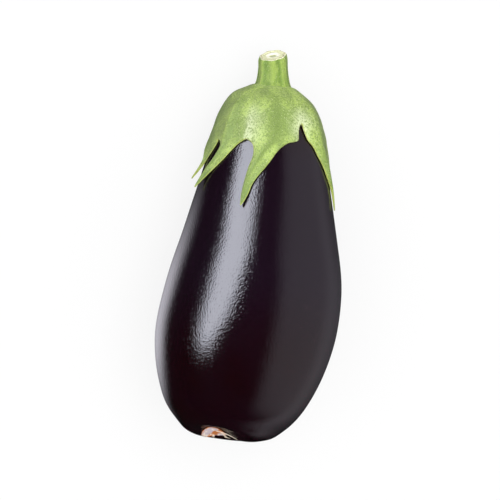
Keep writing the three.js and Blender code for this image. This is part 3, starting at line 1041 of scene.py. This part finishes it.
def panel_material(name, size, light, fades, corner):
    """A glow on the front of a panel, with soft edges and, when asked, a dark corner."""
    radiance, colour = light
    material = bpy.data.materials.new(name)
    material.use_nodes = True
    tree = material.node_tree
    tree.nodes.remove(tree.nodes["Principled BSDF"])
    place_on = add(tree, "SeparateXYZ", {0: add(tree, "TexCoord").outputs["Object"]}).outputs
    behind = add(tree, "NewGeometry").outputs["Backfacing"]
    strength = times(tree, radiance, math_node(tree, "SUBTRACT", 1.0, behind))
    for axis, length, share in zip("XY", size, fades):
        off_middle = math_node(tree, "ABSOLUTE", place_on[axis])
        inside = ranged(tree, off_middle, length / 2, length * (0.5 - share))
        strength = times(tree, strength, inside)
    if corner:
        steepness, reach = corner
        along = times(tree, place_on["Y"], steepness / size[1])
        along = math_node(tree, "ADD", along, steepness / 2 + 0.5 - reach)
        across = times(tree, place_on["X"], 1 / size[0])
        beyond = math_node(tree, "ADD", across, along)
        strength = times(tree, strength, ranged(tree, beyond, 0.0, CORNER_FADE))
    glow = add(tree, "Emission", {"Strength": strength, "Color": (*colour, 1)})
    tree.links.new(glow.outputs[0], tree.nodes["Material Output"].inputs["Surface"])
    return material


def add_panel(name, place, target, size, light, fades, corner=None):
    """A glowing rectangular panel that faces the target, with its long side along the fruit.

    light holds its radiance and colour. The glow fades in over a share of the panel's width from
    both sides, and over a share of its length from both ends. corner cuts off its corner nearest
    the blossom end and straight above: how steep the cut is, and how far it reaches across.
    """
    bm = bmesh.new()
    bmesh.ops.create_grid(bm, x_segments=1, y_segments=1, size=0.5)
    bmesh.ops.scale(bm, vec=(*size, 1), verts=bm.verts)
    panel = link_mesh(bm, name, panel_material(name, size, light, fades, corner))
    facing = (target - place).normalized()
    side = Vector((0, 1, 0)).cross(facing).normalized()
    turn = Matrix((side, facing.cross(side), facing)).transposed()
    panel.location = place
    panel.rotation_mode = "QUATERNION"
    panel.rotation_quaternion = turn.to_quaternion()
    panel.visible_camera = False
    return panel


def add_floor(settings):
    """A wide pale floor that glows, so that it stays pale round the object's soft shadow."""
    bm = bmesh.new()
    bmesh.ops.create_grid(bm, x_segments=1, y_segments=1, size=FLOOR_HALF)
    material, tree, shader = start_material("floor", Roughness=1.0, Specular_IOR_Level=0.0)
    shader.inputs["Emission Color"].default_value = (1, 1, 1, 1)
    seen = add(tree, "LightPath").outputs["Is Camera Ray"]
    glow = ranged(tree, seen, 0.0, 1.0, settings.floor_bounce, settings.floor_glow)
    tree.links.new(glow, shader.inputs["Emission Strength"])
    shade = blend(tree, seen, FLOOR_MIRRORED, FLOOR_SEEN)
    tree.links.new(shade, shader.inputs["Base Color"])
    floor = link_mesh(bm, "floor", material)


def add_world(settings):
    """A pale surround for the camera, a dim one in reflections, and a soft fill on the object."""
    world = bpy.data.worlds.new("surround")
    bpy.context.scene.world = world
    world.use_nodes = True
    tree = world.node_tree
    background = tree.nodes["Background"]
    background.inputs["Color"].default_value = (1, 1, 1, 1)
    ray = add(tree, "LightPath").outputs
    fill = times(tree, ray["Is Diffuse Ray"], settings.fill)
    mirrored = times(tree, ray["Is Glossy Ray"], settings.surround)
    strength = math_node(tree, "ADD", fill, mirrored)
    strength = math_node(tree, "ADD", strength, ray["Is Camera Ray"])
    tree.links.new(strength, background.inputs["Strength"])
    world.cycles.sampling_method = "NONE"  # or the fill would light the object less than asked


def add_camera(settings, centre):
    """The camera, which looks down on the lying fruit from a little past straight above."""
    tilt, roll = settings.camera_tilt, settings.camera_roll
    back = Vector((0, -math.cos(tilt), math.sin(tilt)))
    up = Vector((0, math.sin(tilt), math.cos(tilt)))
    side = Vector((1, 0, 0))
    right = side * math.cos(roll) + up * math.sin(roll)
    above = up * math.cos(roll) - side * math.sin(roll)
    data = bpy.data.cameras.new("camera")
    data.lens, data.sensor_width = settings.lens, 36
    data.clip_start, data.clip_end = 0.01, 100
    camera = bpy.data.objects.new("camera", data)
    bpy.context.scene.collection.objects.link(camera)
    camera.location = centre + back * settings.camera_distance
    camera.location += right * settings.camera_right + above * settings.camera_up
    camera.rotation_mode = "QUATERNION"
    camera.rotation_quaternion = Matrix((right, above, back)).transposed().to_quaternion()
    bpy.context.scene.camera = camera


def way(turn, lean):
    """The direction from straight above, turned to the right and leaned towards the stem."""
    return Vector((math.sin(turn), math.sin(lean), math.cos(turn))).normalized()


def add_softboxes(settings, target):
    """The soft key that lights the object, and what only shows mirrored in its skin."""
    size = (settings.strip_width, settings.strip_length)
    key_place = target + way(settings.key_turn, settings.key_lean) * settings.strip_distance
    key_light = (settings.key_radiance, (1, 1, 1))
    soft_key = add_panel("soft_key", key_place, target, size, key_light, KEY_FADES)
    soft_key.visible_glossy = False
    place = target + way(-settings.strip_turn, settings.strip_lean) * settings.strip_distance
    light = (settings.strip_radiance, settings.strip_colour)
    strip = add_panel("strip", place, target, size, light, STRIP_FADES, STRIP_CORNER)
    card_height = settings.card_away / math.tan(settings.card_turn) + target.z
    level = Vector((target.x, target.y, card_height / 2))
    place = level + Vector((settings.card_away, 0, 0))
    light = (settings.card_radiance, settings.card_colour)
    card = add_panel("card", place, level, (card_height, CARD_LENGTH), light, CARD_FADES)
    mirrored_only = [strip, card]
    for name, (place, size, fades) in BOUNCES.items():
        spot = Vector((*place, BOUNCE_HEIGHT))
        light = (getattr(settings, name), settings.card_colour)
        above_spot = spot + Vector((0, 0, 1))
        mirrored_only.append(add_panel(name, spot, above_spot, size, light, fades))
    for panel in mirrored_only:
        panel.visible_diffuse = False
        panel.visible_shadow = False


def build_stage(settings):
    """Camera, softboxes, floor and surround."""
    low, high = CAD_BOX
    centre = (low + high) / 2
    add_camera(settings, centre)
    add_softboxes(settings, centre + Vector((0, 0, TARGET_HEIGHT)))
    add_floor(settings)
    add_world(settings)
    bpy.context.scene.view_settings.view_transform = "Standard"


# ---- Add-on ------------------------------------------------------------------------------------


def colour_property(name, description, default):
    return bpy.props.FloatVectorProperty(
        name=name, description=description, default=default, subtype="COLOR", size=4, min=0, max=1
    )


def length_property(name, description, default):
    return bpy.props.FloatProperty(
        name=name, description=description, default=default, unit="LENGTH", precision=5
    )


def light_property(name, default):
    return bpy.props.FloatVectorProperty(
        name=name, description="Of its light", default=default, subtype="COLOR"
    )


def number_property(name, description, default):
    return bpy.props.FloatProperty(name=name, description=description, default=default, min=0)


def angle_property(name, description, default):
    return bpy.props.FloatProperty(
        name=name, description=description, default=math.radians(default), subtype="ANGLE"
    )


class FruitSettings(bpy.types.PropertyGroup):
    colour: colour_property("Colour", "Skin where it is darkest", (0.0052, 0.0017, 0.0049, 1))
    warm_colour: colour_property("Warm colour", "Skin where it reddens", (0.005, 0.0001, 0.0003, 1))
    pore_colour: colour_property("Pore colour", "Pale pores of the skin", (0.09, 0.05, 0.06, 1))
    gloss_roughness: number_property("Gloss roughness", "Of the waxy skin", 0.1)
    grain_depth: length_property("Grain depth", "Of the finest unevenness", 0.00011)


class CalyxSettings(bpy.types.PropertyGroup):
    colour: colour_property("Colour", "Light green of the calyx", (0.285, 0.385, 0.078, 1))
    # The deep colour gives a random deeper tone and dark grain pits. It is also painted shade beside
    # the ribs and towards the points.
    deep_and_shade_colour: colour_property("Deep colour", "Green in its hollows", (0.118, 0.182, 0.028, 1))
    hair_colour: colour_property("Hair colour", "Short pale hairs", (0.52, 0.59, 0.28, 1))
    # The frost colour is partly a painted highlight on the lit cap.
    frost_and_highlight_colour: colour_property("Frost colour", "Downy places", (0.53, 0.58, 0.37, 1))
    # The rim colour is a painted highlight along the sepals' thin edges.
    rim_highlight_colour: colour_property("Rim colour", "Thin bright rim", (0.36, 0.4, 0.07, 1))
    rib_height: length_property("Rib height", "Of a sepal's mid-rib", 0.0016)
    hair_depth: length_property("Hair depth", "Relief of the hairs", 0.0004)


class StemSettings(bpy.types.PropertyGroup):
    colour: colour_property("Colour", "Green of the stem", (0.2, 0.285, 0.042, 1))
    # The deep colour is painted shade between the ribs, mixed with a random mottle.
    deep_and_shade_colour: colour_property("Deep colour", "Green between ribs", (0.11, 0.19, 0.016, 1))
    hair_colour: colour_property("Hair colour", "Short pale hairs", (0.52, 0.59, 0.28, 1))
    cut_colour: colour_property("Cut colour", "Fresh flesh of the cut", (0.58, 0.59, 0.34, 1))
    ring_colour: colour_property("Ring colour", "Woody ring on the cut", (0.8, 0.78, 0.66, 1))
    pith_colour: colour_property("Pith colour", "Green middle of the cut", (0.36, 0.4, 0.18, 1))
    dry_colour: colour_property("Dry colour", "Dried edge of the cut", (0.24, 0.17, 0.08, 1))
    hair_depth: length_property("Hair depth", "Relief of the hairs", 0.0004)


class ScarSettings(bpy.types.PropertyGroup):
    colour: colour_property("Colour", "Crust of the scar", (0.4, 0.34, 0.38, 1))
    crack_colour: colour_property("Crack colour", "Cork in the crack", (0.4, 0.12, 0.02, 1))
    fibre_colour: colour_property("Fibre colour", "Loose dry fibres", (0.78, 0.68, 0.54, 1))
    grain_depth: length_property("Grain depth", "Relief of the cork", 0.0005)


class StageSettings(bpy.types.PropertyGroup):
    camera_tilt: angle_property("Camera tilt", "Over the top towards the stem", 97)
    camera_roll: angle_property("Camera roll", "Turn about the line of sight", 6)
    camera_distance: length_property("Camera distance", "From the middle of the object", 0.9)
    camera_right: length_property("Camera right", "Framing sideways", -0.00255)
    camera_up: length_property("Camera up", "Framing upwards", -0.00063)
    lens: bpy.props.FloatProperty(name="Lens", description="Focal length", default=135)
    strip_distance: length_property("Strip distance", "From the fruit to strip and key", 1.2)
    strip_width: length_property("Strip width", "Across the fruit", 1.06)
    strip_length: length_property("Strip length", "Along the fruit", 1.6)
    strip_turn: angle_property("Strip turn", "To the left of straight above", 41)
    strip_lean: angle_property("Strip lean", "Towards the stem", 21)
    strip_radiance: number_property("Strip radiance", "Of the strip softbox", 6.1)
    strip_colour: light_property("Strip colour", (0.95, 0.98, 1.1))
    key_radiance: number_property("Key radiance", "Of the soft light from above", 6.6)
    key_turn: angle_property("Key turn", "To the right of straight above", 14)
    key_lean: angle_property("Key lean", "Towards the stem", 14)
    card_away: length_property("Card distance", "From the fruit to the card", 0.9)
    card_turn: angle_property("Card turn", "Of the card's top from straight above", 37)
    card_radiance: number_property("Card radiance", "Of the card on the right", 0.4)
    card_colour: light_property("Card colour", (0.98, 0.96, 1.06))
    floor_glow: number_property("Floor glow", "The floor's own light, as seen", 0.8)
    floor_bounce: number_property("Floor bounce", "The floor's own light on the object", 0.004)
    left_bounce: number_property("Left bounce", "Light from the floor on the left", 1.9)
    right_bounce: number_property("Right bounce", "Light from the floor on the right", 0.4)
    surround: number_property("Surround", "Light mirrored from all round", 0.004)
    fill: number_property("Fill", "Soft light from all round", 1.78)


class EGGPLANT_OT_stage(bpy.types.Operator):
    """Build the camera, lights, floor and surround"""

    bl_idname = "eggplant.stage"
    bl_label = "Stage"

    def execute(self, context):
        build_stage(context.scene.eggplant_stage)
        return {"FINISHED"}


class EGGPLANT_OT_fruit(bpy.types.Operator):
    """Build the fruit"""

    bl_idname = "eggplant.fruit"
    bl_label = "Fruit"

    def execute(self, context):
        build_fruit(context.scene.eggplant_fruit)
        return {"FINISHED"}


class EGGPLANT_OT_calyx(bpy.types.Operator):
    """Build the calyx with its six sepals"""

    bl_idname = "eggplant.calyx"
    bl_label = "Calyx"

    def execute(self, context):
        build_calyx(context.scene.eggplant_calyx)
        return {"FINISHED"}


class EGGPLANT_OT_stem(bpy.types.Operator):
    """Build the cut stem"""

    bl_idname = "eggplant.stem"
    bl_label = "Stem"

    def execute(self, context):
        build_stem(context.scene.eggplant_stem)
        return {"FINISHED"}


class EGGPLANT_OT_blossom_scar(bpy.types.Operator):
    """Build the corky scar that the blossom left"""

    bl_idname = "eggplant.blossom_scar"
    bl_label = "Blossom scar"

    def execute(self, context):
        build_scar(context.scene.eggplant_scar)
        return {"FINISHED"}


class EGGPLANT_PT_panel(bpy.types.Panel):
    """Sizes, colours and build buttons of the eggplant"""

    bl_idname = "EGGPLANT_PT_panel"
    bl_label = "Eggplant"
    bl_space_type = "VIEW_3D"
    bl_region_type = "UI"
    bl_category = "Eggplant"

    def draw(self, context):
        for title, (settings_class, operator) in SECTIONS.items():
            box = self.layout.box()
            box.operator(operator.bl_idname)
            settings = getattr(context.scene, "eggplant_" + title)
            for name in settings_class.__annotations__:
                box.prop(settings, name)


SECTIONS = {
    "stage": (StageSettings, EGGPLANT_OT_stage),
    "fruit": (FruitSettings, EGGPLANT_OT_fruit),
    "calyx": (CalyxSettings, EGGPLANT_OT_calyx),
    "stem": (StemSettings, EGGPLANT_OT_stem),
    "scar": (ScarSettings, EGGPLANT_OT_blossom_scar),
}


def register():
    for title, (settings_class, operator) in SECTIONS.items():
        bpy.utils.register_class(settings_class)
        bpy.utils.register_class(operator)
        pointer = bpy.props.PointerProperty(type=settings_class)
        setattr(bpy.types.Scene, "eggplant_" + title, pointer)
    bpy.utils.register_class(EGGPLANT_PT_panel)


def unregister():
    bpy.utils.unregister_class(EGGPLANT_PT_panel)
    for title, (settings_class, operator) in reversed(SECTIONS.items()):
        delattr(bpy.types.Scene, "eggplant_" + title)
        bpy.utils.unregister_class(operator)
        bpy.utils.unregister_class(settings_class)


def main():
    register()
    bpy.ops.eggplant.stage()
    bpy.ops.eggplant.fruit()
    bpy.ops.eggplant.calyx()
    bpy.ops.eggplant.stem()
    bpy.ops.eggplant.blossom_scar()
    bpy.context.view_layer.update()


if __name__ == "__main__":
    main()
